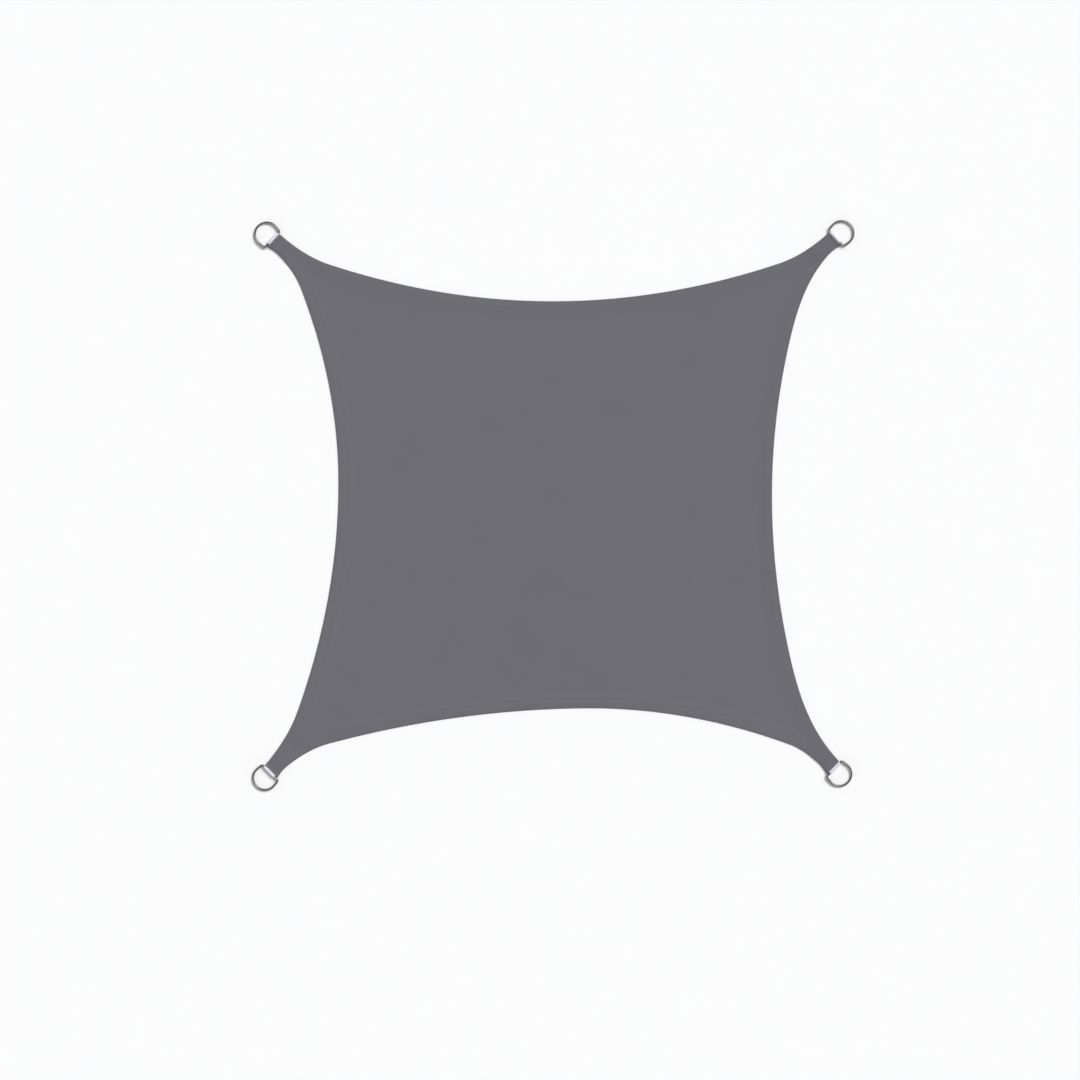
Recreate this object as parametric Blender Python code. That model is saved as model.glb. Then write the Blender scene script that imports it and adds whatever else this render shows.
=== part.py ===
"""Shade sail, laid out flat: one hemmed cloth panel with four hollow sides,
and a steel D-ring held by a webbing loop in the neck at each corner.

Frame: metres, +Z up, the cloth lying on the plane z = 0.  +X is the right-hand side of
the sail and +Y its top side.  The origin is under the middle of the whole sail.
"""
import math
from collections import namedtuple

import bmesh
import bpy
from mathutils import Matrix, Vector
from mathutils.geometry import delaunay_2d_cdt

MM = 0.001
GAP = 0.3 * MM                       # clearance between pieces that touch

# ---- cloth ----
CLOTH_THICKNESS = 1.2 * MM
HEM_WIDTH = 35 * MM                  # turned under along every side
HEM_THICKNESS = 2.4 * MM
HEM_SHOULDER = 6 * MM                # the cloth steps down over this width inside the hem
NECK_WIDTH = 52 * MM                 # across the cut end of each corner neck
HEEL_FLARE = 8 * MM                  # the neck's edge on the ring's free side spreads by this
HEEL_RUN = 55 * MM                   # over the last stretch before the cut end
EDGE_SPANS = 52                      # straight runs that one hollow side is drawn with
EDGE_CROWDING = 0.4                  # 0 spaces them evenly, 1 crowds them toward the necks
FIELD_PITCH = 125 * MM               # spacing of the points inside the hem
FIELD_REACH = 750 * MM               # they stay this close to the middle each way

# ---- webbing loop ----
WEBBING_WIDTH = 48 * MM
WEBBING_THICKNESS = 1.5 * MM
TAIL_LENGTH = 60 * MM                # from the ring's bar back into the pocket
LOOP_FALL_DEG = 55                   # slope of the upper tail as it comes off the bar
LOOP_BEND_RADIUS = 3 * MM            # where that slope turns into the flat tail
BAR_ARC_STEPS = 12
BEND_ARC_STEPS = 4

# ---- D-ring ----
WIRE_RADIUS = 4 * MM
BOW_RADIUS = 40.5 * MM               # to the middle of the wire
BAR_OFFSET = 26 * MM                 # from the bow's centre to the middle of the bar
LEG_LEAN_DEG = 6                     # the legs close in toward the bar
RING_CORNER_RADIUS = 8 * MM
RING_SLIDE = 4.6 * MM                # how far each ring has slid along its bar
BOW_STEPS = 36
RING_CORNER_STEPS = 3
BAR_STEPS = 3

# ---- neck pocket that the tails are sewn into ----
POCKET_LAYER = 1.4 * MM              # cloth over the tails
POCKET_RAMP = 64 * MM                # length over which the neck thins down to the hem
LIP_LENGTH = 6 * MM                  # the pocket's mouth flares up over the loop
LIP_RISE = 4.7 * MM
TIP_TO_BAR = 6 * MM                  # from the neck's cut end to the middle of the bar

# ---- heights that follow from the layers ----
LOWER_TAIL_Z = CLOTH_THICKNESS + GAP
UPPER_TAIL_Z = LOWER_TAIL_Z + WEBBING_THICKNESS + GAP
POCKET_CEILING_Z = UPPER_TAIL_Z + WEBBING_THICKNESS + GAP
POCKET_TOP_Z = POCKET_CEILING_Z + POCKET_LAYER
POCKET_DEPTH = TAIL_LENGTH - TIP_TO_BAR + GAP
BAR_Z = LOWER_TAIL_Z + WEBBING_THICKNESS + GAP + WIRE_RADIUS
RING_TILT = math.asin((BAR_Z - WIRE_RADIUS) / (BAR_OFFSET + BOW_RADIUS))

# Each neck: the middle of its cut end, the way it points (anticlockwise from +X), and
# the side its ring has slid to along the bar (+1 is anticlockwise of the neck).
Corner = namedtuple("Corner", "name tip_x tip_y outward_deg slide_side")
CORNERS = {
    "top_left": Corner("top_left", -947 * MM, 903 * MM, 137.5, 1),
    "top_right": Corner("top_right", 953 * MM, 907.5 * MM, 43.0, -1),
    "bottom_right": Corner("bottom_right", 952.5 * MM, -887 * MM, -44.0, -1),
    "bottom_left": Corner("bottom_left", -960.5 * MM, -900 * MM, 225.0, 1),
}

# Each side runs clockwise from one neck to the next.  Its hollow is two half parabolas
# that meet at the deepest place, with a flare added near each neck, where the side turns
# into the neck.  The higher the flare's power, the tighter that turn.
Side = namedtuple(
    "Side", "start end sag deepest start_flare start_run end_flare end_run flare_power")
SIDES = (
    Side("top_left", "top_right", 230 * MM, 0.50, 41.5 * MM, 169 * MM, 41.5 * MM, 168 * MM, 2),
    Side("top_right", "bottom_right", 227 * MM, 0.487, 68 * MM, 392 * MM, 60 * MM, 427 * MM, 4),
    Side("bottom_right", "bottom_left", 222 * MM, 0.436, 41.5 * MM, 140 * MM, 56 * MM, 184 * MM, 2),
    Side("bottom_left", "top_left", 241 * MM, 0.535, 36.5 * MM, 183 * MM, 44.5 * MM, 147 * MM, 2),
)

SLATE_GREY = (0.156, 0.153, 0.171, 1)
STEEL = (0.34, 0.34, 0.335, 1)
PALE_GREY = (0.66, 0.65, 0.72, 1)


# ---------------------------------------------------------------- scene helpers
def clear_scene():
    for old in list(bpy.data.objects):
        bpy.data.objects.remove(old, do_unlink=True)


def make_material(name, colour, roughness, metallic=0.0):
    material = bpy.data.materials.new(name)
    material.use_nodes = True
    shader = material.node_tree.nodes["Principled BSDF"]
    shader.inputs["Base Color"].default_value = colour
    shader.inputs["Roughness"].default_value = roughness
    shader.inputs["Metallic"].default_value = metallic
    return material


def add_object(name, data, material=None):
    piece = bpy.data.objects.new(name, data)
    bpy.context.scene.collection.objects.link(piece)
    if material:
        data.materials.append(material)
    return piece


def mesh_from(name, bm):
    bmesh.ops.recalc_face_normals(bm, faces=bm.faces)
    mesh = bpy.data.meshes.new(name)
    bm.to_mesh(mesh)
    bm.free()
    return mesh


# ---------------------------------------------------------------- outline
def neck_axes(corner):
    """The middle of the neck's end, its outward direction and the direction across it."""
    angle = math.radians(corner.outward_deg)
    outward = Vector((math.cos(angle), math.sin(angle)))
    across = Vector((-outward.y, outward.x))
    return Vector((corner.tip_x, corner.tip_y)), outward, across


def bar_point(corner):
    tip, outward, _ = neck_axes(corner)
    return tip + outward * TIP_TO_BAR


def side_ends(side):
    """The neck corners that a side starts and ends at, going clockwise."""
    start_tip, _, start_across = neck_axes(CORNERS[side.start])
    end_tip, _, end_across = neck_axes(CORNERS[side.end])
    half = NECK_WIDTH / 2
    return start_tip - start_across * half, end_tip + end_across * half


def hollow_depth(side, run, length):
    """How far the side lies inside the straight line between its ends."""
    deepest = side.deepest * length
    if run < deepest:
        fall, shoulder = (run - deepest) / deepest, side.start_flare
    else:
        fall, shoulder = (run - deepest) / (length - deepest), side.end_flare
    depth = shoulder + (side.sag - shoulder) * (1 - fall ** 2)
    depth -= side.start_flare * max(0.0, 1 - run / side.start_run) ** side.flare_power
    depth -= side.end_flare * max(0.0, 1 - (length - run) / side.end_run) ** side.flare_power
    return depth


def heel_spread(corner, edge, point):
    """How far a point moves where the neck widens on the side that its ring has slid to.

    edge is +1 or -1, for the neck's edge anticlockwise or clockwise of its middle.
    """
    tip, outward, across = neck_axes(corner)
    if edge != corner.slide_side:
        return Vector((0, 0))
    inland = (tip - point).dot(outward)
    return across * edge * HEEL_FLARE * max(0.0, 1 - inland / HEEL_RUN) ** 2


def side_stations(side, along, length):
    """Distances along a side, closer together toward its necks and at the pockets' lips."""
    _, start_outward, _ = neck_axes(CORNERS[side.start])
    _, end_outward, _ = neck_axes(CORNERS[side.end])
    stations = [0.0, -LIP_LENGTH * along.dot(start_outward)]
    for index in range(1, EDGE_SPANS):
        even = index / EDGE_SPANS
        crowded = (1 - math.cos(math.pi * even)) / 2
        stations.append(length * (even + (crowded - even) * EDGE_CROWDING))
    return stations + [length - LIP_LENGTH * along.dot(end_outward), length]


def side_points(side, inset=0.0):
    """Points along a side, moved into the cloth by inset."""
    start, end = side_ends(side)
    chord = end - start
    length = chord.length
    along = chord / length
    inward = Vector((along.y, -along.x))

    def place(run):
        point = start + along * run + inward * hollow_depth(side, run, length)
        start_spread = heel_spread(CORNERS[side.start], -1, point)
        return point + start_spread + heel_spread(CORNERS[side.end], 1, point)

    points = []
    for run in side_stations(side, along, length):
        step = min(1 * MM, run, length - run) or 1 * MM
        before, after = place(max(run - step, 0)), place(min(run + step, length))
        tangent = (after - before).normalized()
        points.append(place(run) + Vector((tangent.y, -tangent.x)) * inset)
    return points


def distance_to_line(point, line):
    nearest = float("inf")
    for first, second in zip(line, line[1:]):
        span = second - first
        share = max(0.0, min(1.0, (point - first).dot(span) / span.length_squared))
        nearest = min(nearest, (point - first - span * share).length)
    return nearest


# ---------------------------------------------------------------- cloth
def smooth_step(share):
    share = max(0.0, min(1.0, share))
    return share * share * (3 - 2 * share)


def cloth_height(point, side_lines):
    """Height of the upper face: field, hem, neck pocket and the lip at its mouth."""
    edge_distance = min(distance_to_line(point, line) for line in side_lines)
    hem = smooth_step(1 - (edge_distance - HEM_WIDTH) / HEM_SHOULDER)
    height = CLOTH_THICKNESS + (HEM_THICKNESS - CLOTH_THICKNESS) * hem
    for corner in CORNERS.values():
        tip, outward, _ = neck_axes(corner)
        inland = (tip - point).dot(outward)
        if inland > POCKET_DEPTH + POCKET_RAMP:
            continue
        pocket = smooth_step(1 - (inland - POCKET_DEPTH) / POCKET_RAMP)
        height += (POCKET_TOP_Z - height) * pocket
        height += LIP_RISE * max(0.0, 1 - inland / LIP_LENGTH)
    return height


def inner_points(side_lines):
    """Rows along both sides of the hem's shoulder, neck points and an even field."""
    points = []
    for inset in (HEM_WIDTH, HEM_WIDTH + HEM_SHOULDER):
        for side in SIDES:
            for point in side_points(side, inset):
                if min(distance_to_line(point, line) for line in side_lines) > inset - 0.1 * MM:
                    points.append(point)
    for corner in CORNERS.values():
        tip, outward, across = neck_axes(corner)
        for inland in (LIP_LENGTH, POCKET_DEPTH / 2, POCKET_DEPTH, POCKET_DEPTH + POCKET_RAMP / 2,
                       POCKET_DEPTH + POCKET_RAMP):
            for share in (-0.25, 0.25):
                points.append(tip - outward * inland + across * NECK_WIDTH * share)
    count = int(FIELD_REACH / FIELD_PITCH)
    keep_off = HEM_WIDTH + HEM_SHOULDER + FIELD_PITCH / 3
    for column in range(-count, count + 1):
        for row in range(-count, count + 1):
            point = Vector((column * FIELD_PITCH, row * FIELD_PITCH))
            if min(distance_to_line(point, line) for line in side_lines) > keep_off:
                points.append(point)
    return points


def make_cloth():
    side_lines = [side_points(side) for side in SIDES]
    outline = [point for line in side_lines for point in line]
    edges = [(index, (index + 1) % len(outline)) for index in range(len(outline))]
    flat = delaunay_2d_cdt(outline + inner_points(side_lines), edges, [], 1, 1e-6)
    bm = bmesh.new()
    verts = [bm.verts.new((point.x, point.y, 0)) for point in flat[0]]
    for face in flat[2]:
        bm.faces.new([verts[index] for index in face])
    raised = bmesh.ops.extrude_face_region(bm, geom=bm.faces[:])["geom"]
    for vert in raised:
        if isinstance(vert, bmesh.types.BMVert):
            vert.co.z = cloth_height(vert.co.xy, side_lines)
    material = make_material("sail_polyester", SLATE_GREY, 0.85)
    cloth = add_object("sail_cloth", mesh_from("sail_cloth", bm), material)
    for corner in CORNERS.values():
        pocket = cloth.modifiers.new("pocket_" + corner.name, "BOOLEAN")
        pocket.operation = "DIFFERENCE"
        pocket.solver = "EXACT"
        pocket.object = make_pocket_cutter(corner)
    return cloth


def make_pocket_cutter(corner):
    """The hollow for both tails.  Local +X points out of the neck, from the bar's middle."""
    half = WEBBING_WIDTH / 2 + GAP
    mouth = -TIP_TO_BAR + 3 * MM
    lip_slope = LIP_RISE / LIP_LENGTH
    ceiling_turn = -TIP_TO_BAR - LIP_LENGTH
    section = (
        (-TAIL_LENGTH - GAP, CLOTH_THICKNESS),
        (mouth, CLOTH_THICKNESS),
        (mouth, POCKET_CEILING_Z + (mouth - ceiling_turn) * lip_slope),
        (ceiling_turn, POCKET_CEILING_Z),
        (-TAIL_LENGTH - GAP, POCKET_CEILING_Z),
    )
    bm = bmesh.new()
    face = bm.faces.new([bm.verts.new((x, -half, z)) for x, z in section])
    raised = bmesh.ops.extrude_face_region(bm, geom=[face])["geom"]
    sweep = [part for part in raised if isinstance(part, bmesh.types.BMVert)]
    bmesh.ops.translate(bm, verts=sweep, vec=(0, 2 * half, 0))
    cutter = add_object("pocket_cutter_" + corner.name, mesh_from("pocket_cutter", bm))
    stand_at_bar(cutter, corner)
    cutter.hide_render = True
    cutter.display_type = "WIRE"
    return cutter


# ---------------------------------------------------------------- webbing loop
def arc(centre, radius, from_deg, to_deg, steps):
    """Points on an arc in a plane, with both ends."""
    points = []
    for index in range(steps + 1):
        angle = math.radians(from_deg + (to_deg - from_deg) * index / steps)
        points.append((centre[0] + radius * math.cos(angle), centre[1] + radius * math.sin(angle)))
    return points


def loop_sections():
    """The strap's inner and outer face in its lengthwise section, tail end to tail end."""
    half = WEBBING_THICKNESS / 2
    middle = WIRE_RADIUS + GAP + half
    lower = LOWER_TAIL_Z + half
    upper = UPPER_TAIL_Z + half
    leave_deg = 90 + LOOP_FALL_DEG
    leave = Vector(arc((0, BAR_Z), middle, leave_deg, leave_deg, 1)[0])
    fall = math.radians(LOOP_FALL_DEG)
    bend_x = leave.x - (leave.y - upper) / math.tan(fall)
    bend_run = LOOP_BEND_RADIUS * math.tan(fall / 2)
    bend_centre = (bend_x - bend_run, upper + LOOP_BEND_RADIUS)
    faces = []
    for offset in (-half, half):
        line = [(-TAIL_LENGTH, lower - offset)]
        line += arc((0, BAR_Z), middle + offset, -90, leave_deg, BAR_ARC_STEPS)
        line += arc(bend_centre, LOOP_BEND_RADIUS - offset, -90 + LOOP_FALL_DEG, -90, BEND_ARC_STEPS)
        line += [(-TAIL_LENGTH, upper + offset)]
        faces.append(line)
    return faces


def make_loop(corner):
    inner, outer = loop_sections()
    half = WEBBING_WIDTH / 2
    bm = bmesh.new()
    rings = []
    for (inner_x, inner_z), (outer_x, outer_z) in zip(inner, outer):
        rings.append([bm.verts.new(co) for co in (
            (inner_x, -half, inner_z), (inner_x, half, inner_z),
            (outer_x, half, outer_z), (outer_x, -half, outer_z))])
    for first, second in zip(rings, rings[1:]):
        for index in range(4):
            after = (index + 1) % 4
            bm.faces.new((first[index], first[after], second[after], second[index]))
    bm.faces.new(rings[0])
    bm.faces.new(rings[-1])
    mesh = mesh_from("loop", bm)
    mesh.shade_smooth()
    mesh.set_sharp_from_angle(angle=math.radians(40))
    material = make_material("loop_webbing_" + corner.name, PALE_GREY, 0.8)
    loop = add_object("loop_" + corner.name, mesh, material)
    stand_at_bar(loop, corner)


# ---------------------------------------------------------------- D-ring
def ring_route():
    """The middle of the wire, clockwise from the bar, with the bar's middle at the origin."""
    corner_x = RING_CORNER_RADIUS
    lean = math.radians(LEG_LEAN_DEG)
    corner_y = (BOW_RADIUS - RING_CORNER_RADIUS) / math.cos(lean)
    corner_y -= (BAR_OFFSET - corner_x) * math.tan(lean)
    turn = 90 + LEG_LEAN_DEG
    route = [(0, corner_y * (2 * index / BAR_STEPS - 1)) for index in range(1, BAR_STEPS)]
    route += arc((corner_x, corner_y), RING_CORNER_RADIUS, 180, turn, RING_CORNER_STEPS)
    route += arc((BAR_OFFSET, 0), BOW_RADIUS, turn, -turn, BOW_STEPS)
    route += arc((corner_x, -corner_y), RING_CORNER_RADIUS, -turn, -180, RING_CORNER_STEPS)
    return route


def make_ring(corner):
    curve = bpy.data.curves.new("ring", "CURVE")
    curve.dimensions = "3D"
    curve.bevel_depth = WIRE_RADIUS
    curve.bevel_resolution = 4
    wire = curve.splines.new("POLY")
    route = ring_route()
    wire.points.add(len(route) - 1)
    for point, (x, y) in zip(wire.points, route):
        point.co = (x, y, 0, 1)
    wire.use_cyclic_u = True
    material = make_material("ring_steel_" + corner.name, STEEL, 0.18, 1.0)
    ring = add_object("ring_" + corner.name, curve, material)
    _, _, across = neck_axes(corner)
    place = bar_point(corner) + across * RING_SLIDE * corner.slide_side
    ring.location = (place.x, place.y, BAR_Z)
    ring.rotation_euler = (0, RING_TILT, math.radians(corner.outward_deg))


def stand_at_bar(piece, corner):
    place = bar_point(corner)
    piece.matrix_world = (Matrix.Translation((place.x, place.y, 0))
                          @ Matrix.Rotation(math.radians(corner.outward_deg), 4, "Z"))


def main():
    clear_scene()
    make_cloth()
    for corner in CORNERS.values():
        make_loop(corner)
        make_ring(corner)


main()
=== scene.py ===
"""Looks of the shade sail: slate-grey polyester with a turned, sewn hem, pale webbing
loops in its corner necks and polished D-rings, laid out on a pale studio floor.

Metres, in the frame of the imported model: +X right, +Y up in the photo, +Z off the floor.
"""
import math
from collections import namedtuple

import bmesh
import bpy
import numpy as np
from mathutils import Matrix, Vector, noise
from mathutils.geometry import delaunay_2d_cdt


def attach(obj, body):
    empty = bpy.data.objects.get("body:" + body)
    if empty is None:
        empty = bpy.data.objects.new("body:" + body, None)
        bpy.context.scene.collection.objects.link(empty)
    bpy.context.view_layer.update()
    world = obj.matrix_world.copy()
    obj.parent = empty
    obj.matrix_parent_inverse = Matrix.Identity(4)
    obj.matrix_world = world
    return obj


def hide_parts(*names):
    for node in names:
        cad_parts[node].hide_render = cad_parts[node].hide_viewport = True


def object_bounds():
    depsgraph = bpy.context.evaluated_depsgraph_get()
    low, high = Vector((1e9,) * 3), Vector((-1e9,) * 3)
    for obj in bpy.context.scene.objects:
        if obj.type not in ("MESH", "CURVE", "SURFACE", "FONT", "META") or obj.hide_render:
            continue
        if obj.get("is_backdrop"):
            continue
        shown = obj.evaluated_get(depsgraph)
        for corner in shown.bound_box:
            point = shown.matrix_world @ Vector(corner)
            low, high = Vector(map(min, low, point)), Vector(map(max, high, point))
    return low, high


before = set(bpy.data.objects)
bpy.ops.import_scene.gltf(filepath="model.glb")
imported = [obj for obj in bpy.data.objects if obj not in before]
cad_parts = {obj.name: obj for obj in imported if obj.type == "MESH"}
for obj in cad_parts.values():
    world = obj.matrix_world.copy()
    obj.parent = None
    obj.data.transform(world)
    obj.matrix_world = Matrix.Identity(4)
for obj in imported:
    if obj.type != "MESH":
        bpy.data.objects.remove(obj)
CAD_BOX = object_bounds()

MM = 0.001

# ---- the sail's outline, as it was cut ----
NECK_WIDTH = 52 * MM
HEEL_FLARE = 8 * MM                  # a neck widens by this on the side its ring has slid to
HEEL_RUN = 55 * MM                   # over the last stretch before the cut end
# slide_side says which way the ring has slid along its bar: 1 is the way across that
# neck_axes gives, -1 the other.
Corner = namedtuple("Corner", "name tip_x tip_y outward_deg slide_side")
CORNERS = {corner.name: corner for corner in (
    Corner("top_left", -947 * MM, 903 * MM, 137.5, 1),
    Corner("top_right", 953 * MM, 907.5 * MM, 43.0, -1),
    Corner("bottom_right", 952.5 * MM, -887 * MM, -44.0, -1),
    Corner("bottom_left", -960.5 * MM, -900 * MM, 225.0, 1),
)}
# A side is two half parabolas that meet at its deepest place. That is sag deep, and lies a
# share of the way along the straight line between the necks. At a neck the parabola would
# still be flare deep, so over the last run the side swings out to the neck's edge.
Side = namedtuple(
    "Side", "start end sag deepest start_flare start_run end_flare end_run flare_power")
SIDES = (
    Side("top_left", "top_right", 230 * MM, 0.50,
         41.5 * MM, 169 * MM, 41.5 * MM, 168 * MM, flare_power=2),
    Side("top_right", "bottom_right", 227 * MM, 0.487,
         68 * MM, 392 * MM, 60 * MM, 427 * MM, flare_power=4),
    Side("bottom_right", "bottom_left", 222 * MM, 0.436,
         41.5 * MM, 140 * MM, 56 * MM, 184 * MM, flare_power=2),
    Side("bottom_left", "top_left", 241 * MM, 0.535,
         36.5 * MM, 183 * MM, 44.5 * MM, 147 * MM, flare_power=2),
)

# ---- cloth ----
SHEET = 0.8 * MM                     # thickness of one layer
FIELD_Z = 0.7 * MM                   # middle of the layer, above the floor
HEM_Z = 2.0 * MM                     # middle of the upper layer over the hem
UNDER_Z = 0.45 * MM                  # middle of the turned-under layer
HEM_WIDTH = 35 * MM
HEM_SHOULDER = 20 * MM
FOLD_BULGE = 1.1 * MM                # how far a folded edge rounds out
NECK_BULGE = 2.3 * MM                # and how far where it folds over a pocket
FOLD_STEPS = 8
RIM_CLEARANCE = 0.5 * MM             # between the start of the fold and the next row of points
OUTER_SEAM = 4 * MM                  # the two rows of stitches, in from the edge
INNER_SEAM = 31 * MM
SEAM_START = 5 * MM                  # they begin this far in from a neck's cut end
SEAM_DIP = 0.22 * MM                 # the thread draws the cloth down by this
SEAM_DIP_WIDTH = 1.6 * MM
HEM_PUFF = 0.3 * MM                  # the hem swells between its seams
PUCKER, PUCKER_PITCH, PUCKER_SEED = 0.08 * MM, 17 * MM, 7.7
SWELL, SWELL_PITCH, SWELL_SEED = 0.6 * MM, 330 * MM, 3.1   # the loose field's low waves
SWELL_SHORE = 6 * HEM_WIDTH          # they grow over this width inside the hem
NOISE_GAIN = 2                       # most of the noise keeps within a half each way
NECK_LENGTH = 250 * MM               # where the turned-under layers of two sides may meet
MEETING_GAP = 0.8 * MM

# ---- how finely the cloth is laid out ----
# Rows of points follow each side at these insets, close together over the hem.
CLOTH_INSETS_MM = (2.4, 4, 5.6, 8, 12, 17, 22, 26, 29, 31, 33, 35, 38, 42, 46, 50, 55, 63)
UNDER_SHARES = tuple(row / 35 for row in (4, 9, 15, 22, 29, 35))   # of the turned-under width
NECK_STEP = 3.5 * MM                 # spacing of the stations along a neck
SIDE_STEP = 9 * MM                   # and along the rest of a side
NECK_REACH = 140 * MM                # the first holds this far, then eases over as much again
TANGENT_REACH = 1 * MM               # a side's direction is measured this far each way
CUT_SPANS = 14                       # across a neck's cut end
CUT_CLEARANCE = 1.7 * MM             # no free point lies closer to a cut end
CURVE_SAMPLES = 4000                 # that a side's length is measured with
FIELD_STEP = 16 * MM                 # an even staggered field fills the middle
FIELD_ROWS_CLOSER = 0.87             # its rows lie closer than its columns by this
FIELD_CLEARANCE = 10 * MM            # and it keeps this far from the last inset
FIELD_HALF = 1.0                     # metres each way, before it is trimmed to the outline
SLACK = 0.2 * MM                     # a row or seam stops where another side is nearer by this
INSIDE_ONLY = 1                      # the triangulation's output type: what the outline holds
MERGE_DISTANCE = 1e-6                # and how close together two points count as one
POINTS_AT_ONCE = 2000                # so that measuring distances takes little memory

# ---- neck pocket ----
POCKET_Z = 6.05 * MM                 # middle of the upper layer over the pocket
POCKET_DEPTH = 54 * MM               # it keeps that height this far in from the cut end
POCKET_RAMP = 64 * MM                # and comes down to the hem's over this
LIP_REACH = 11 * MM                  # near the cut end it flares up to clear the loop
LIP_RISE = 3.9 * MM
TIP_TO_BAR = 6 * MM                  # from the cut end out to the ring's bar
BOX_SEAM_NEAR = 13 * MM              # the box of stitches through cloth and webbing
BOX_SEAM_FAR = 49 * MM
BOX_SEAM_HALF = 19 * MM

# ---- stitches ----
STITCH_PITCH = 4 * MM
STITCH_LENGTH = 3.3 * MM
THREAD_RADIUS = 0.32 * MM
THREAD_SIDES = 5
# Where each ring lies along a stitch from -1 to 1, how far its middle is above the cloth and
# how large it is, both in thread radii.
STITCH_RINGS = (
    (-1, -0.9, 0.55),
    (-0.62, 0.15, 1),
    (0, 0.35, 1.05),
    (0.62, 0.15, 1),
    (1, -0.9, 0.55),
)

# ---- webbing loop ----
WEBBING_WIDTH = 48 * MM
WEBBING_THICKNESS = 1.5 * MM
TAIL_LENGTH = 60 * MM
LOWER_TAIL_Z = 1.5 * MM              # underside of the tail that goes under the bar
UPPER_TAIL_Z = 3.3 * MM              # and of the one that comes back over it
LOOP_FALL_DEG = 55                   # slope of the upper tail as it comes off the bar
LOOP_BEND_RADIUS = 3 * MM
TAIL_SPANS, BAR_ARC_SPANS, BEND_SPANS = 12, 28, 6
SELVAGE = 0.5 * MM                   # the strap's edges round off over this width
SELVAGE_INNER, SELVAGE_OUTER = 0.9, 0.45   # and thin down to these shares of its thickness
STRAP_SHARP_DEG = 50                 # an edge that turns by more is shaded sharp
STRAP_SPOTS = (-0.94, -0.8, -0.4, 0, 0.4, 0.8, 0.94)   # across it, as shares of its half width

# ---- D-ring ----
GAP = 0.3 * MM                       # between the bar and the webbing round it
WIRE_RADIUS = 4 * MM
BOW_RADIUS = 40.5 * MM               # this and the next two are of the wire's middle
BAR_OFFSET = 26 * MM                 # from the bar to the bow's centre
RING_CORNER_RADIUS = 8 * MM
LEG_LEAN_DEG = 6                     # the legs close in toward the bar
RING_SLIDE = 4.6 * MM                # how far each ring has slid along its bar
WIRE_SIDES = 28
BAR_SPANS, BOW_SPANS, RING_CORNER_SPANS = 8, 110, 10
BAR_Z = LOWER_TAIL_Z + WEBBING_THICKNESS + GAP + WIRE_RADIUS
RING_TILT = math.asin((BAR_Z - WIRE_RADIUS) / (BAR_OFFSET + BOW_RADIUS))

# ---- finishes: linear colours and the pitch of the weaves ----
SLATE = (0.1438, 0.141, 0.157, 1)
THREAD_GREY = (0.10, 0.098, 0.11, 1)
WEBBING_PALE = (0.76, 0.75, 0.83, 1)
STEEL = (0.36, 0.36, 0.355, 1)
FLOOR_WHITE = (0.90, 0.90, 0.90, 1)
WEAVE_PITCH = 0.76 * MM
RIB_PITCH, PICK_PITCH = 1.7 * MM, 1.3 * MM
YARN_SINK = 0.45                     # a yarn sinks by this share between the ones it crosses
# Painted shade and painted highlight, as shares of a finish's colour: darker between yarns or
# strands, where shade falls, and lighter on top, where light falls.
CLOTH_PAINTED_SHADE, CLOTH_PAINTED_HIGHLIGHT = 0.72, 1.12
CLOTH_FADED, MOST_FADED = 1.5, 0.10  # in slow patches, this much of it mixed in at most
# painted shade and painted highlight of the thread's strands
THREAD_PAINTED_SHADE, THREAD_PAINTED_HIGHLIGHT = 0.8, 1.25
# painted shade between the webbing's yarns
WEBBING_PAINTED_SHADE = 0.8

# ---- camera, straight above, at the photo's framing ----
PHOTO_SPAN = 3.672                   # metres across the photo's whole frame
VIEW_X, VIEW_Y = -45.1 * MM, -117.3 * MM   # what lies in the middle of the photo
LENS_MM, SENSOR_MM = 85, 36

# ---- studio ----
FLOOR_RADIUS = 60.0                  # metres
FLOOR_SEGMENTS = 96
SKY_HORIZON = (0.86, 0.87, 0.88, 1)
SKY_ZENITH = (0.22, 0.22, 0.23, 1)
Sun = namedtuple("Sun", "azimuth_deg elevation_deg strength softness_deg")
KEY = Sun(47, 46, 2.3, 30)
SoftBox = namedtuple("SoftBox", "azimuth_deg elevation_deg reach_deg glow")
SOFT_BOXES = (SoftBox(47, 50, 16, 3.0), SoftBox(215, 35, 14, 1.6))
BOX_BLUR_DEG = 4


# ---------------------------------------------------------------- outline
def smooth_step(share):
    share = np.clip(share, 0.0, 1.0)
    return share * share * (3 - 2 * share)


def neck_axes(corner):
    """The middle of the neck's end, its outward direction and the direction across it."""
    angle = math.radians(corner.outward_deg)
    outward = Vector((math.cos(angle), math.sin(angle)))
    across = Vector((-outward.y, outward.x))
    return Vector((corner.tip_x, corner.tip_y)), outward, across


def heel_spread(corner, edge, point):
    """How far a point moves where the neck widens on the side that its ring has slid to."""
    tip, outward, across = neck_axes(corner)
    if edge != corner.slide_side:
        return Vector((0, 0))
    inland = (tip - point).dot(outward)
    return across * edge * HEEL_FLARE * max(0.0, 1 - inland / HEEL_RUN) ** 2


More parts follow.
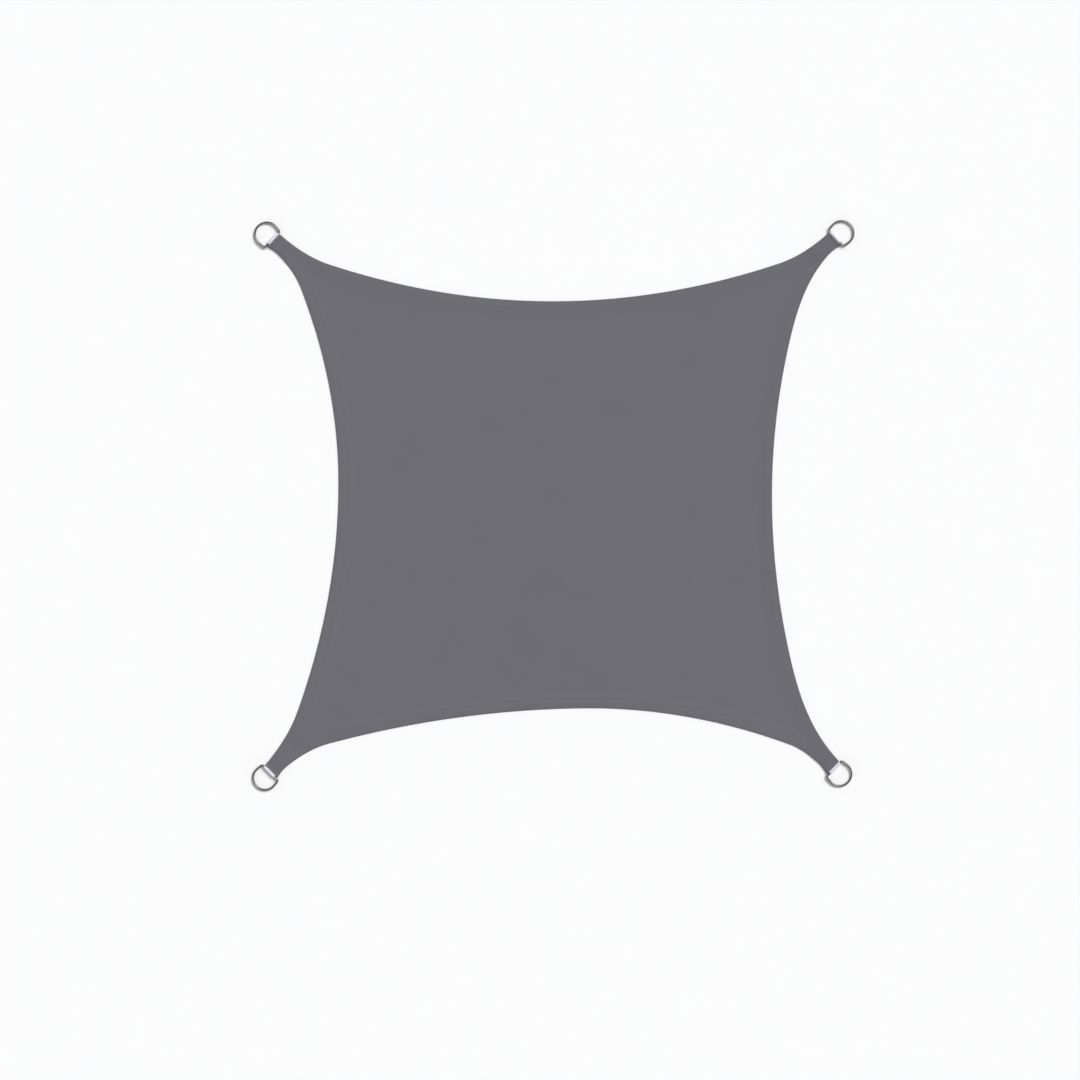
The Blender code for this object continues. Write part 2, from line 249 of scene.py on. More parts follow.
def side_curve(side):
    """A function from the run along a side's chord to the point on the side, and the chord."""
    start_tip, _, start_across = neck_axes(CORNERS[side.start])
    end_tip, _, end_across = neck_axes(CORNERS[side.end])
    start = start_tip - start_across * NECK_WIDTH / 2
    chord = end_tip + end_across * NECK_WIDTH / 2 - start
    length = chord.length
    along = chord / length
    inward = Vector((along.y, -along.x))
    deepest = side.deepest * length

    def place(run):
        if run < deepest:
            fall, shoulder = (run - deepest) / deepest, side.start_flare
        else:
            fall, shoulder = (run - deepest) / (length - deepest), side.end_flare
        depth = shoulder + (side.sag - shoulder) * (1 - fall ** 2)
        depth -= side.start_flare * max(0.0, 1 - run / side.start_run) ** side.flare_power
        depth -= side.end_flare * max(0.0, 1 - (length - run) / side.end_run) ** side.flare_power
        point = start + along * run + inward * depth
        start_spread = heel_spread(CORNERS[side.start], -1, point)
        return point + start_spread + heel_spread(CORNERS[side.end], 1, point)

    return place, length


Station = namedtuple("Station", "point inward")


def side_stations(side):
    """Points along a side, close together in its necks, with the way into the cloth."""
    place, length = side_curve(side)
    fine = [place(length * index / CURVE_SAMPLES) for index in range(CURVE_SAMPLES + 1)]
    travelled = [0.0]
    for first, second in zip(fine, fine[1:]):
        travelled.append(travelled[-1] + (second - first).length)
    total = travelled[-1]
    wanted = [0.0]
    while wanted[-1] < total:
        from_neck = min(wanted[-1], total - wanted[-1])
        share = smooth_step((from_neck - NECK_REACH) / NECK_REACH)
        wanted.append(wanted[-1] + NECK_STEP + (SIDE_STEP - NECK_STEP) * float(share))
    wanted = [travel * total / wanted[-1] for travel in wanted]
    runs = np.interp(wanted, travelled, np.linspace(0, length, len(fine)))
    stations = []
    for run in runs:
        before = place(max(run - TANGENT_REACH, 0.0))
        after = place(min(run + TANGENT_REACH, length))
        tangent = (after - before).normalized()
        stations.append(Station(place(run), Vector((tangent.y, -tangent.x))))
    return stations


STATIONS = [side_stations(side) for side in SIDES]


def side_distances(points):
    """For each point, its distance to each of the four sides."""
    points = np.asarray(points, dtype=float)
    columns = []
    for stations in STATIONS:
        line = np.array([station.point for station in stations])
        first, span = line[:-1], np.diff(line, axis=0)
        nearest = np.full(len(points), np.inf)
        for start in range(0, len(points), POINTS_AT_ONCE):
            batch = slice(start, start + POINTS_AT_ONCE)
            offset = points[batch, None, :] - first[None]
            share = np.clip((offset * span).sum(2) / (span ** 2).sum(1), 0, 1)
            gap = np.linalg.norm(offset - share[..., None] * span, axis=2)
            nearest[batch] = gap.min(1)
        columns.append(nearest)
    return np.stack(columns, axis=1)


# ---------------------------------------------------------------- cloth surface
def wavy(points, pitch, seed):
    """Smooth noise, mostly from -1 to 1, with hills about one pitch apart."""
    heights = [noise.noise(Vector((x / pitch, y / pitch, seed))) for x, y in points]
    return np.array(heights) * NOISE_GAIN


def neck_places(points):
    """For each neck, how far inland of its end each point lies and how far off its axis."""
    for corner in CORNERS.values():
        tip, outward, across = neck_axes(corner)
        offset = points - np.array(tip)
        yield -(offset @ np.array(outward)), offset @ np.array(across)


def from_cut_end(points):
    """How far inland each point lies of the nearest neck's cut end."""
    return np.min([inland for inland, _ in neck_places(points)], axis=0)


def pocket_share(inland):
    """How far the cloth has risen from the hem to the pocket's height, from 0 to 1."""
    return smooth_step((POCKET_DEPTH + POCKET_RAMP - inland) / POCKET_RAMP)


def rim_insets(stations):
    """How far in from a side the upper face ends and the folded edge begins."""
    inland = from_cut_end(np.array([station.point for station in stations]))
    return SHEET / 2 + FOLD_BULGE + (NECK_BULGE - FOLD_BULGE) * pocket_share(inland)


def seam_dip(distance):
    """What a seam adds to the height of the cloth at a distance from it; it is negative."""
    return -SEAM_DIP * np.exp(-(distance / SEAM_DIP_WIDTH) ** 2)


def box_seam_distance(inland, across):
    """Distance from the rectangle of stitches in a neck and from its two diagonals."""
    middle, half_run = (BOX_SEAM_NEAR + BOX_SEAM_FAR) / 2, (BOX_SEAM_FAR - BOX_SEAM_NEAR) / 2
    run = inland - middle
    outside = np.hypot(np.clip(np.abs(run) - half_run, 0, None),
                       np.clip(np.abs(across) - BOX_SEAM_HALF, 0, None))
    inside = np.minimum(half_run - np.abs(run), BOX_SEAM_HALF - np.abs(across))
    rectangle = np.where(inside > 0, inside, outside)
    slope = math.atan2(BOX_SEAM_HALF, half_run)
    diagonals = np.minimum(np.abs(run * math.sin(slope) - across * math.cos(slope)),
                           np.abs(run * math.sin(slope) + across * math.cos(slope)))
    diagonals = np.where(inside > 0, diagonals, np.inf)
    return np.minimum(rectangle, diagonals)


def top_heights(points):
    """Middle of the cloth's upper layer: field, hem, neck pockets, seams and soft waves."""
    points = np.asarray(points, dtype=float)
    edge = side_distances(points).min(axis=1)
    hem = smooth_step((HEM_WIDTH + HEM_SHOULDER - edge) / HEM_SHOULDER)
    loose = smooth_step((edge - HEM_WIDTH - HEM_SHOULDER) / SWELL_SHORE)
    height = FIELD_Z + (HEM_Z - FIELD_Z) * hem
    height += SWELL * loose * (0.5 + 0.5 * wavy(points, SWELL_PITCH, SWELL_SEED))
    sewn = np.exp(-(edge - INNER_SEAM).clip(0) / HEM_WIDTH)
    height += PUCKER * sewn * wavy(points, PUCKER_PITCH, PUCKER_SEED)
    puff = np.sin(np.pi * np.clip((edge - OUTER_SEAM) / (INNER_SEAM - OUTER_SEAM), 0, 1))
    drawn = smooth_step(from_cut_end(points) / SEAM_START)
    height += HEM_PUFF * puff + drawn * (seam_dip(edge - OUTER_SEAM) + seam_dip(edge - INNER_SEAM))
    for inland, across in neck_places(points):
        height += (POCKET_Z - HEM_Z) * pocket_share(inland)
        height += LIP_RISE * np.clip(1 - inland / LIP_REACH, 0, 1) ** 2
        height += seam_dip(box_seam_distance(inland, across))
    return height


def inside_outline(points):
    """Which points lie inside: a line toward +X crosses the outline an odd number of times."""
    ring = np.array([station.point for stations in STATIONS for station in stations])
    inside = np.zeros(len(points), dtype=bool)
    for (x, y), (next_x, next_y) in zip(ring, np.roll(ring, -1, axis=0)):
        beside = (y > points[:, 1]) != (next_y > points[:, 1])
        turn = (next_x - x) * (points[:, 1] - y) - (next_y - y) * (points[:, 0] - x)
        inside ^= beside & ((turn > 0) == (next_y > y))
    return inside


def layout_points():
    """Free points of the upper layer: rows in from each side, then an even staggered field."""
    rows = []
    for stations in STATIONS:
        for inset in CLOTH_INSETS_MM:
            places = [station.point + station.inward * inset * MM for station in stations]
            keep = side_distances(places).min(axis=1) > inset * MM - SLACK
            keep &= inset * MM > rim_insets(stations) + RIM_CLEARANCE
            keep &= from_cut_end(np.array(places)) > CUT_CLEARANCE
            rows += [place for place, kept in zip(places, keep) if kept]
    reach = int(FIELD_HALF / FIELD_STEP)
    span = range(-reach, reach + 1)
    field = np.array([
        ((column + 0.5 * (row % 2)) * FIELD_STEP, row * FIELD_STEP * FIELD_ROWS_CLOSER)
        for row in span for column in span])
    keep_off = CLOTH_INSETS_MM[-1] * MM + FIELD_CLEARANCE
    keep = inside_outline(field) & (side_distances(field).min(axis=1) > keep_off)
    return rows + [Vector(point) for point in field[keep]]


Fold = namedtuple("Fold", "direction rim_inset reach")


def folds(stations):
    """How the hem is turned at each station: which way it lies, where its edge begins to
    round and how far in the turned-under layer reaches.

    Two layers meet along the middle of a neck, and each ends in line with the cut end.
    """
    turned = []
    for station, rim_inset in zip(stations, rim_insets(stations).tolist()):
        direction, reach = station.inward, HEM_WIDTH
        for corner in CORNERS.values():
            tip, outward, across = neck_axes(corner)
            inland = (tip - station.point).dot(outward)
            off_axis = (station.point - tip).dot(across)
            if inland > NECK_LENGTH or abs(off_axis) > NECK_LENGTH:
                continue
            to_axis = across * -math.copysign(1, off_axis)
            share = float(smooth_step(1 - inland / HEEL_RUN))
            direction = station.inward.lerp(to_axis, share).normalized()
            reach = min(HEM_WIDTH, abs(off_axis) / direction.dot(to_axis) - MEETING_GAP)
        turned.append(Fold(direction, rim_inset, reach))
    return turned


def add_turned_hem(bm, flats, stations, rim_verts):
    """Carries the upper face round the fold and back under itself to the hem's raw edge.

    flats gets the place of each new vertex in the cloth before its hem was turned.
    """
    columns = []
    for station, rim, fold in zip(stations, rim_verts, folds(stations)):
        section = [(fold.rim_inset, rim.co.z)]
        bulge, half_height = fold.rim_inset - SHEET / 2, (rim.co.z - UNDER_Z) / 2
        for step in range(1, FOLD_STEPS + 1):
            angle = math.pi * step / FOLD_STEPS
            section.append((fold.rim_inset - bulge * math.sin(angle),
                            UNDER_Z + half_height * (1 + math.cos(angle))))
        for share in UNDER_SHARES:
            section.append((fold.rim_inset + (fold.reach - fold.rim_inset) * share, UNDER_Z))
        column, travelled = [rim], 0.0
        for before, after in zip(section, section[1:]):
            travelled += math.dist(before, after)
            place = station.point + fold.direction * after[0]
            column.append(bm.verts.new((place.x, place.y, after[1])))
            flats.append(station.point + fold.direction * (fold.rim_inset - travelled))
        columns.append(column)
    for first, second in zip(columns, columns[1:]):
        for index in range(len(first) - 1):
            bm.faces.new((first[index], second[index], second[index + 1], first[index + 1]))


def make_cloth_mesh():
    """One layer of cloth: the upper face, the fold along each side and the layer under it."""
    rims = [[station.point + fold.direction * fold.rim_inset
             for station, fold in zip(stations, folds(stations))] for stations in STATIONS]
    outline, starts = [], []
    for rim, next_rim in zip(rims, rims[1:] + rims[:1]):
        starts.append(len(outline))
        outline += rim
        outline += [rim[-1].lerp(next_rim[0], index / CUT_SPANS) for index in range(1, CUT_SPANS)]
    edges = [(index, (index + 1) % len(outline)) for index in range(len(outline))]
    places, _, faces, origins, _, _ = delaunay_2d_cdt(
        outline + layout_points(), edges, [], INSIDE_ONLY, MERGE_DISTANCE)
    heights = top_heights(places)
    bm = bmesh.new()
    verts = [bm.verts.new((place.x, place.y, z)) for place, z in zip(places, heights)]
    flats = [place.to_2d() for place in places]
    for face in faces:
        bm.faces.new([verts[index] for index in face])
    where = {origin: index for index, group in enumerate(origins) for origin in group}
    for stations, start in zip(STATIONS, starts):
        rim_verts = [verts[where[start + index]] for index in range(len(stations))]
        add_turned_hem(bm, flats, stations, rim_verts)
    bm.verts.index_update()
    unrolled = bm.loops.layers.uv.new("flat")
    for face in bm.faces:
        for loop in face.loops:
            loop[unrolled].uv = flats[loop.vert.index]
    bmesh.ops.recalc_face_normals(bm, faces=bm.faces)
    if max(bm.faces, key=lambda face: face.calc_area()).normal.z < 0:
        # The faces agree with one another, but all of them look down.
        bmesh.ops.reverse_faces(bm, faces=bm.faces)
    return smooth_mesh(bm, "sail")


def make_sail():
    sail = add_piece("sail", make_cloth_mesh(), cloth_material())
    layer = sail.modifiers.new("layer", "SOLIDIFY")
    layer.thickness = SHEET
    layer.offset = 0
    layer.use_even_offset = False
    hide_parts("sail_cloth")
    return sail


# ---------------------------------------------------------------- stitches
def seam_line(stations, inset):
    """A seam at one inset from a side, without the part that another side's hem covers."""
    places = [station.point + station.inward * inset for station in stations]
    keep = side_distances(places).min(axis=1) > inset - SLACK
    keep &= from_cut_end(np.array(places)) > SEAM_START
    return [place for place, kept in zip(places, keep) if kept]


def box_seam_lines(corner):
    """The closed rectangle and the two diagonals of a neck's box of stitches."""
    tip, outward, across = neck_axes(corner)

    def place(inland, side):
        return tip - outward * inland + across * side

    near, far, half = BOX_SEAM_NEAR, BOX_SEAM_FAR, BOX_SEAM_HALF
    a, b = place(near, -half), place(near, half)
    c, d = place(far, half), place(far, -half)
    return [[a, b], [b, c], [c, d], [d, a], [a, c], [b, d]]


def stitch_marks(line):
    """Evenly spaced middles and directions of the stitches along a line."""
    lengths = [(second - first).length for first, second in zip(line, line[1:])]
    total = sum(lengths)
    count = max(1, round(total / STITCH_PITCH))
    marks = []
    travelled, index = 0.0, 0
    for number in range(count):
        wanted = (number + 0.5) * total / count
        while index < len(lengths) - 1 and travelled + lengths[index] < wanted:
            travelled += lengths[index]
            index += 1
        direction = (line[index + 1] - line[index]) / lengths[index]
        marks.append((line[index] + direction * (wanted - travelled), direction))
    return marks


def make_stitches(name, lines):
    """Short lengths of thread that rise out of the cloth and go back into it."""
    marks = [mark for line in lines if len(line) > 1 for mark in stitch_marks(line)]
    middles = np.array([mark[0] for mark in marks])
    ahead = middles + np.array([mark[1] for mark in marks]) * STITCH_LENGTH / 2
    behind = 2 * middles - ahead
    levels = [(top_heights(places) + SHEET / 2).tolist() for places in (behind, middles, ahead)]
    bm = bmesh.new()
    for (middle, direction), low, mid, high in zip(marks, *levels):
        along = Vector((direction.x, direction.y, 0))
        side = Vector((-direction.y, direction.x, 0))
        rings = []
        for share, rise, size in STITCH_RINGS:
            level = mid + share * (high - mid if share > 0 else mid - low)
            centre = Vector((middle.x, middle.y, level + rise * THREAD_RADIUS))
            centre += along * share * STITCH_LENGTH / 2
            ring = []
            for index in range(THREAD_SIDES):
                turn = math.pi / 2 - 2 * math.pi * index / THREAD_SIDES
                spoke = side * math.cos(turn) + Vector((0, 0, math.sin(turn)))
                ring.append(bm.verts.new(centre + spoke * THREAD_RADIUS * size))
            rings.append(ring)
        skin(bm, rings)
    piece = add_piece(name, smooth_mesh(bm, name), thread_material())
    return piece


def skin(bm, rings, closed=False):
    """Joins rings of vertices into a tube, with end caps unless the tube is closed."""
    pairs = list(zip(rings, rings[1:] + rings[:1])) if closed else list(zip(rings, rings[1:]))
    count = len(rings[0])
    for first, second in pairs:
        for index in range(count):
            after = (index + 1) % count
            bm.faces.new((first[index], second[index], second[after], first[after]))
    if not closed:
        bm.faces.new(rings[0])
        bm.faces.new(list(reversed(rings[-1])))


# ---------------------------------------------------------------- webbing loops
def arc(centre, radius, from_deg, to_deg, steps):
    """Points on an arc in a plane, with both ends."""
    points = []
    for index in range(steps + 1):
        angle = math.radians(from_deg + (to_deg - from_deg) * index / steps)
        points.append((centre[0] + radius * math.cos(angle), centre[1] + radius * math.sin(angle)))
    return points


def loop_route():
    """Middle of the strap in its lengthwise section, from the lower tail to the upper."""
    half = WEBBING_THICKNESS / 2
    middle = WIRE_RADIUS + GAP + half
    lower, upper = LOWER_TAIL_Z + half, UPPER_TAIL_Z + half
    route = [(-TAIL_LENGTH * (1 - index / TAIL_SPANS), lower) for index in range(TAIL_SPANS)]
    route += arc((0, BAR_Z), middle, -90, 90 + LOOP_FALL_DEG, BAR_ARC_SPANS)
    leave_x, leave_z = route[-1]
    fall = math.radians(LOOP_FALL_DEG)
    bend_x = leave_x - (leave_z - upper) / math.tan(fall)
    flat_x = bend_x - LOOP_BEND_RADIUS * math.tan(fall / 2)
    bend_centre = (flat_x, upper + LOOP_BEND_RADIUS)
    route += arc(bend_centre, LOOP_BEND_RADIUS, -90 + LOOP_FALL_DEG, -90, BEND_SPANS)
    span = (-TAIL_LENGTH - flat_x) / TAIL_SPANS
    return route + [(flat_x + span * index, upper) for index in range(1, TAIL_SPANS + 1)]


def strap_section():
    """The strap's cross-section: flat faces, rounded selvages, a hair thinner at the edges."""
    half_width, half = WEBBING_WIDTH / 2, WEBBING_THICKNESS / 2
    spots = [half_width * share for share in STRAP_SPOTS]
    top = [(spot, half) for spot in reversed(spots)]
    bottom = [(spot, -half) for spot in spots]
    inner, outer = half * SELVAGE_INNER, half * SELVAGE_OUTER
    left = [(-half_width + SELVAGE, inner), (-half_width, outer),
            (-half_width, -outer), (-half_width + SELVAGE, -inner)]
    right = [(-spot, -rise) for spot, rise in left]
    return top + left + bottom + right


def bar_frame(corner, slide=0.0):
    """Where a neck's loop and ring are built: +X out of the neck, from under the bar's middle."""
    tip, outward, across = neck_axes(corner)
    place = tip + outward * TIP_TO_BAR + across * slide
    return (Matrix.Translation((place.x, place.y, 0))
            @ Matrix.Rotation(math.radians(corner.outward_deg), 4, "Z"))


def make_loop(corner):
    """Webbing laid once round the ring's bar, with both tails in the neck's pocket."""
    route = loop_route()
    section = strap_section()
    bm = bmesh.new()
    layer = bm.loops.layers.uv.new("strap")
    rings = []
    for index, (x, z) in enumerate(route):
        before, after = route[max(index - 1, 0)], route[min(index + 1, len(route) - 1)]
        run = Vector((after[0] - before[0], after[1] - before[1])).normalized()
        outward = Vector((run.y, -run.x))
        rings.append([bm.verts.new((x + outward.x * rise, spot, z + outward.y * rise))
                      for spot, rise in section])
    skin(bm, rings)
    travelled = [0.0]
    for before, after in zip(route, route[1:]):
        travelled.append(travelled[-1] + math.dist(before, after))
    bm.verts.index_update()
    for face in bm.faces:
        for loop in face.loops:
            loop[layer].uv = (travelled[loop.vert.index // len(section)], loop.vert.co.y)
    bmesh.ops.recalc_face_normals(bm, faces=bm.faces)
    bm.transform(bar_frame(corner))
    mesh = smooth_mesh(bm, "loop")
    mesh.set_sharp_from_angle(angle=math.radians(STRAP_SHARP_DEG))
    strap = add_piece("webbing_" + corner.name, mesh, webbing_material())
    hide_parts("loop_" + corner.name)


# ---------------------------------------------------------------- D-rings
def ring_route():
    """Middle of the wire, clockwise from the bar, with the bar's middle at the origin."""
    corner_x = RING_CORNER_RADIUS
    lean = math.radians(LEG_LEAN_DEG)
    corner_y = (BOW_RADIUS - RING_CORNER_RADIUS) / math.cos(lean)
    corner_y -= (BAR_OFFSET - corner_x) * math.tan(lean)
    turn = 90 + LEG_LEAN_DEG
    route = [(0, corner_y * (2 * index / BAR_SPANS - 1)) for index in range(1, BAR_SPANS)]
    route += arc((corner_x, corner_y), RING_CORNER_RADIUS, 180, turn, RING_CORNER_SPANS)
    route += arc((BAR_OFFSET, 0), BOW_RADIUS, turn, -turn, BOW_SPANS)
    route += arc((corner_x, -corner_y), RING_CORNER_RADIUS, -turn, -180, RING_CORNER_SPANS)
    return route


def make_ring(corner):
    """Round wire bent to a D, tilted about its bar so that the bow rests on the floor."""
    route = ring_route()
    bm = bmesh.new()
    rings = []
    for index, (x, y) in enumerate(route):
        before, after = route[index - 1], route[(index + 1) % len(route)]
        run = Vector((after[0] - before[0], after[1] - before[1])).normalized()
        outward = Vector((run.y, -run.x, 0))
        ring = []
        for side in range(WIRE_SIDES):
            turn = 2 * math.pi * side / WIRE_SIDES
            spoke = outward * math.cos(turn) + Vector((0, 0, math.sin(turn)))
            ring.append(bm.verts.new(Vector((x, y, 0)) + spoke * WIRE_RADIUS))
        rings.append(ring)
    skin(bm, rings, closed=True)
    bmesh.ops.recalc_face_normals(bm, faces=bm.faces)
    bm.transform(bar_frame(corner, RING_SLIDE * corner.slide_side)
                 @ Matrix.Translation((0, 0, BAR_Z)) @ Matrix.Rotation(RING_TILT, 4, "Y"))
    wire = add_piece("steel_" + corner.name, smooth_mesh(bm, "ring"), steel_material())
    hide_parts("ring_" + corner.name)


# ---------------------------------------------------------------- materials
def new_material(name):
    material = bpy.data.materials.new(name)
    material.use_nodes = True
    return material, material.node_tree, material.node_tree.nodes["Principled BSDF"]


def feed(tree, sockets, values):
    """Sets each socket to its value, or links it where the value is another node's output."""
    for socket, value in zip(sockets, values):
        if isinstance(value, bpy.types.NodeSocket):
            tree.links.new(value, socket)
        else:
            socket.default_value = value


def maths(tree, operation, *values):
    node = tree.nodes.new("ShaderNodeMath")
    node.operation = operation
    feed(tree, node.inputs, values)
    return node.outputs[0]


def blend(tree, share, low, high, colour=False):
    node = tree.nodes.new("ShaderNodeMix")
    node.data_type = "RGBA" if colour else "FLOAT"
    feed(tree, [socket for socket in node.inputs if socket.enabled], (share, low, high))
    return next(socket for socket in node.outputs if socket.enabled)


def shade(colour, share):
    """A colour made darker or lighter."""
    return tuple(channel * share for channel in colour[:3]) + (1,)


def object_place(tree):
    return tree.nodes.new("ShaderNodeTexCoord").outputs["Object"]


def map_axes(tree, uv_map):
    """The two coordinates of a UV map, in metres along and across the cloth."""
    unrolled = tree.nodes.new("ShaderNodeUVMap")
    unrolled.uv_map = uv_map
    parts = tree.nodes.new("ShaderNodeSeparateXYZ")
    tree.links.new(unrolled.outputs[0], parts.inputs[0])
    return parts.outputs[0], parts.outputs[1]


def noise_value(tree, coordinates, scale, detail):
    node = tree.nodes.new("ShaderNodeTexNoise")
    node.inputs["Scale"].default_value = scale
    node.inputs["Detail"].default_value = detail
    tree.links.new(coordinates, node.inputs["Vector"])
    return node.outputs["Fac"]


def bump(tree, height, distance, strength, normal=None):
    node = tree.nodes.new("ShaderNodeBump")
    node.inputs["Distance"].default_value = distance
    node.inputs["Strength"].default_value = strength
    tree.links.new(height, node.inputs["Height"])
    if normal:
        tree.links.new(normal, node.inputs["Normal"])
    return node.outputs["Normal"]


def plain_weave(tree, first, second):
    """Height of a plain weave, from two coordinates counted in yarns."""
    warp = maths(tree, "ABSOLUTE", maths(tree, "SINE", maths(tree, "MULTIPLY", first, math.pi)))
    weft = maths(tree, "ABSOLUTE", maths(tree, "SINE", maths(tree, "MULTIPLY", second, math.pi)))
    cells = maths(tree, "ADD", maths(tree, "FLOOR", first), maths(tree, "FLOOR", second))
    weft_on_top = maths(tree, "PINGPONG", cells, 1.0)

    def on_top(yarn, crossed):
        rise = maths(tree, "MULTIPLY_ADD", crossed, YARN_SINK, 1 - YARN_SINK)
        return maths(tree, "MULTIPLY", yarn, rise)

    return blend(tree, weft_on_top, on_top(warp, weft), on_top(weft, warp))


def cloth_material():
    """Coated plain-weave polyester: round yarns, with painted shade between them and a painted
    highlight on their tops, faint slubs and slow changes of tone.
    """
    material, tree, shader = new_material("slate_polyester")
    along, across = (maths(tree, "DIVIDE", axis, WEAVE_PITCH) for axis in map_axes(tree, "flat"))
    weave = plain_weave(tree, along, across)
    slub = noise_value(tree, object_place(tree), scale=900, detail=1)
    tone = noise_value(tree, object_place(tree), scale=5, detail=3)
    # the yarns' colour: painted shade where they sink between one another and a painted highlight
    # on their tops
    yarn = blend(tree, weave, shade(SLATE, CLOTH_PAINTED_SHADE), shade(SLATE, CLOTH_PAINTED_HIGHLIGHT), colour=True)
    fade = maths(tree, "MULTIPLY", tone, MOST_FADED)
    # slow random patches of lighter tone, laid over the yarns' painted shade and highlight
    faded_with_painted_light = blend(tree, fade, yarn, shade(SLATE, CLOTH_FADED), colour=True)
    tree.links.new(faded_with_painted_light, shader.inputs["Base Color"])
    tree.links.new(blend(tree, slub, low=0.72, high=0.9), shader.inputs["Roughness"])
    shader.inputs["Specular IOR Level"].default_value = 0.3
    shader.inputs["Sheen Weight"].default_value = 0.12
    shader.inputs["Sheen Roughness"].default_value = 0.5
    uneven = bump(tree, slub, distance=0.05 * MM, strength=0.35)
    woven = bump(tree, weave, distance=0.16 * MM, strength=0.7, normal=uneven)
    tree.links.new(woven, shader.inputs["Normal"])
    return material


def thread_material():
    """Spun polyester thread, a little darker than the cloth, with painted shade in its strands'
    low places and a painted highlight on the high ones.
    """
    material, tree, shader = new_material("sail_thread")
    strands = noise_value(tree, object_place(tree), scale=2500, detail=1)
    # painted shade where the strands' bump is low and a painted highlight where it is high
    strands_with_painted_light = blend(tree, strands, shade(THREAD_GREY, THREAD_PAINTED_SHADE),
                 shade(THREAD_GREY, THREAD_PAINTED_HIGHLIGHT), colour=True)
    tree.links.new(strands_with_painted_light, shader.inputs["Base Color"])
    shader.inputs["Roughness"].default_value = 0.5
    tree.links.new(bump(tree, strands, distance=0.05 * MM, strength=0.5), shader.inputs["Normal"])
    return material


def webbing_material():
    """Pale polyester webbing: ribs along its length, with picks that slant back and forth, and
    painted shade between its yarns.
    """
    material, tree, shader = new_material("pale_webbing")
    along, across = map_axes(tree, "strap")
    rib = maths(tree, "DIVIDE", across, RIB_PITCH)
    slant = maths(tree, "PINGPONG", rib, 1.0)
    pick = maths(tree, "ADD", maths(tree, "DIVIDE", along, PICK_PITCH), slant)
    weave = plain_weave(tree, pick, rib)
    # painted shade where the yarns sink between one another
    pale = blend(tree, weave, shade(WEBBING_PALE, WEBBING_PAINTED_SHADE), WEBBING_PALE, colour=True)
    tree.links.new(pale, shader.inputs["Base Color"])
    shader.inputs["Roughness"].default_value = 0.65
    shader.inputs["Sheen Weight"].default_value = 0.15
    tree.links.new(bump(tree, weave, distance=0.3 * MM, strength=0.6), shader.inputs["Normal"])
    return material


def steel_material():
    """Polished stainless wire with fine polishing marks and a few duller patches."""
    material, tree, shader = new_material("polished_steel")
    patches = noise_value(tree, object_place(tree), scale=60, detail=3)
    marks = noise_value(tree, object_place(tree), scale=3000, detail=2)
    shader.inputs["Base Color"].default_value = STEEL
    shader.inputs["Metallic"].default_value = 1.0
    tree.links.new(blend(tree, patches, low=0.10, high=0.26), shader.inputs["Roughness"])
    tree.links.new(bump(tree, marks, distance=0.02 * MM, strength=0.15), shader.inputs["Normal"])
    return material


# ---------------------------------------------------------------- pieces and stage
def smooth_mesh(bm, name):
    """Makes a smooth-shaded mesh of what was built in bm, and frees bm."""
    mesh = bpy.data.meshes.new(name)
    bm.to_mesh(mesh)
    bm.free()
    mesh.shade_smooth()
    return mesh


def add_piece(name, mesh, material):
    mesh.materials.append(material)
    piece = bpy.data.objects.new(name, mesh)
    bpy.context.scene.collection.objects.link(piece)
    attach(piece, "root")
    return piece


def add_floor():
    bm = bmesh.new()
    bmesh.ops.create_circle(bm, cap_ends=True, segments=FLOOR_SEGMENTS, radius=FLOOR_RADIUS)
    mesh = bpy.data.meshes.new("floor")
    bm.to_mesh(mesh)
    bm.free()
    floor = bpy.data.objects.new("floor", mesh)
    bpy.context.scene.collection.objects.link(floor)
    material, tree, shader = new_material("floor_white")
    shader.inputs["Base Color"].default_value = FLOOR_WHITE
    shader.inputs["Roughness"].default_value = 0.7
    shader.inputs["Specular IOR Level"].default_value = 0.2
    mesh.materials.append(material)
    floor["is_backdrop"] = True


def sky_direction(azimuth_deg, elevation_deg):
    """Toward a place in the sky. Azimuth 0 is +X and 90 is +Y."""
    azimuth, elevation = math.radians(azimuth_deg), math.radians(elevation_deg)
    return Vector((math.cos(azimuth) * math.cos(elevation),
                   math.sin(azimuth) * math.cos(elevation), math.sin(elevation)))


def add_sun(name, light):
    """A distant soft light that shines from a place in the sky and isn't mirrored by steel."""
    lamp = bpy.data.lights.new(name, "SUN")
    lamp.energy = light.strength
    lamp.angle = math.radians(light.softness_deg)
    sun = bpy.data.objects.new(name, lamp)
    back = sky_direction(light.azimuth_deg, light.elevation_deg)
    sun.rotation_euler = back.to_track_quat("Z", "Y").to_euler()
    sun.visible_glossy = False
    bpy.context.scene.collection.objects.link(sun)


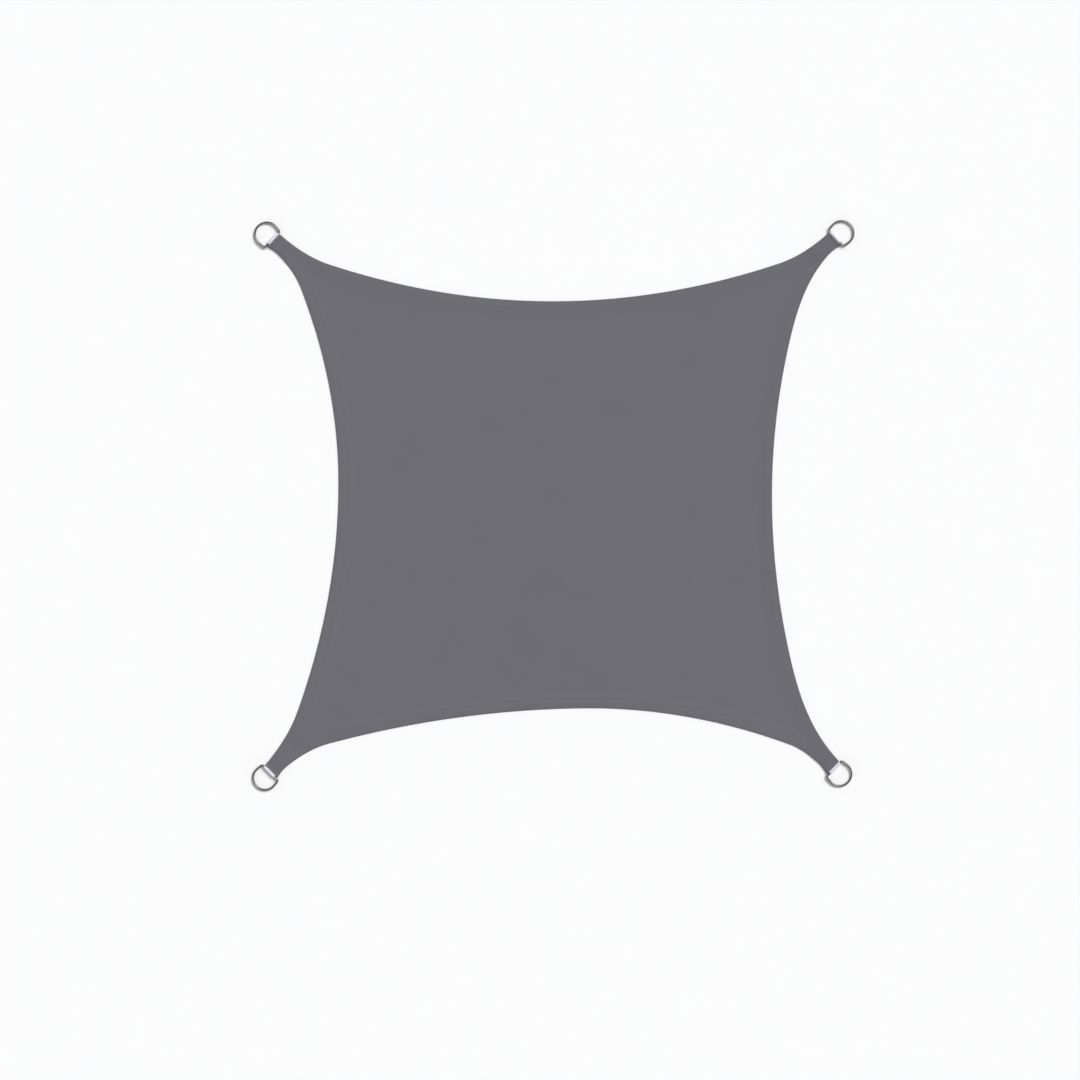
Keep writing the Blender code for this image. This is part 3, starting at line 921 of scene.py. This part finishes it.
def add_sky():
    """Soft room light, dimmer overhead, with soft boxes for the steel to reflect."""
    world = bpy.data.worlds.new("studio")
    bpy.context.scene.world = world
    world.use_nodes = True
    tree = world.node_tree
    direction = tree.nodes.new("ShaderNodeTexCoord").outputs["Generated"]
    parts = tree.nodes.new("ShaderNodeSeparateXYZ")
    tree.links.new(direction, parts.inputs[0])
    rise = maths(tree, "SQRT", maths(tree, "MAXIMUM", parts.outputs[2], 0.0))
    light = blend(tree, rise, SKY_HORIZON, SKY_ZENITH, colour=True)
    for box in SOFT_BOXES:
        toward = tree.nodes.new("ShaderNodeVectorMath")
        toward.operation = "DOT_PRODUCT"
        feed(tree, toward.inputs, (direction, sky_direction(box.azimuth_deg, box.elevation_deg)))
        edge = tree.nodes.new("ShaderNodeMapRange")
        edge.interpolation_type = "SMOOTHSTEP"
        tree.links.new(toward.outputs["Value"], edge.inputs["Value"])
        outer, inner = box.reach_deg + BOX_BLUR_DEG, box.reach_deg - BOX_BLUR_DEG
        edge.inputs["From Min"].default_value = math.cos(math.radians(outer))
        edge.inputs["From Max"].default_value = math.cos(math.radians(inner))
        glow = (box.glow, box.glow, box.glow, 1)
        light = blend(tree, edge.outputs["Result"], light, glow, colour=True)
    tree.links.new(light, tree.nodes["Background"].inputs["Color"])


def add_camera():
    lens = bpy.data.cameras.new("camera")
    lens.lens = LENS_MM
    lens.sensor_width = SENSOR_MM
    lens.clip_end = 2 * FLOOR_RADIUS
    camera = bpy.data.objects.new("camera", lens)
    camera.location = (VIEW_X, VIEW_Y, PHOTO_SPAN * LENS_MM / SENSOR_MM)
    bpy.context.scene.collection.objects.link(camera)
    bpy.context.scene.camera = camera


def light_scene():
    bpy.context.scene.view_settings.view_transform = "Standard"
    add_sky()
    add_sun("key", KEY)


def main():
    sail = make_sail()
    hems = [seam_line(stations, inset)
            for stations in STATIONS for inset in (OUTER_SEAM, INNER_SEAM)]
    boxes = [line for corner in CORNERS.values() for line in box_seam_lines(corner)]
    hem_stitches = make_stitches("hem_stitches", hems)
    box_stitches = make_stitches("box_stitches", boxes)
    for corner in CORNERS.values():
        make_ring(corner)
        make_loop(corner)
    add_floor()
    add_camera()
    light_scene()


main()
boxes = {"cad": CAD_BOX, "visual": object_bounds()}
{name: [list(corner) for corner in box] for name, box in boxes.items()}
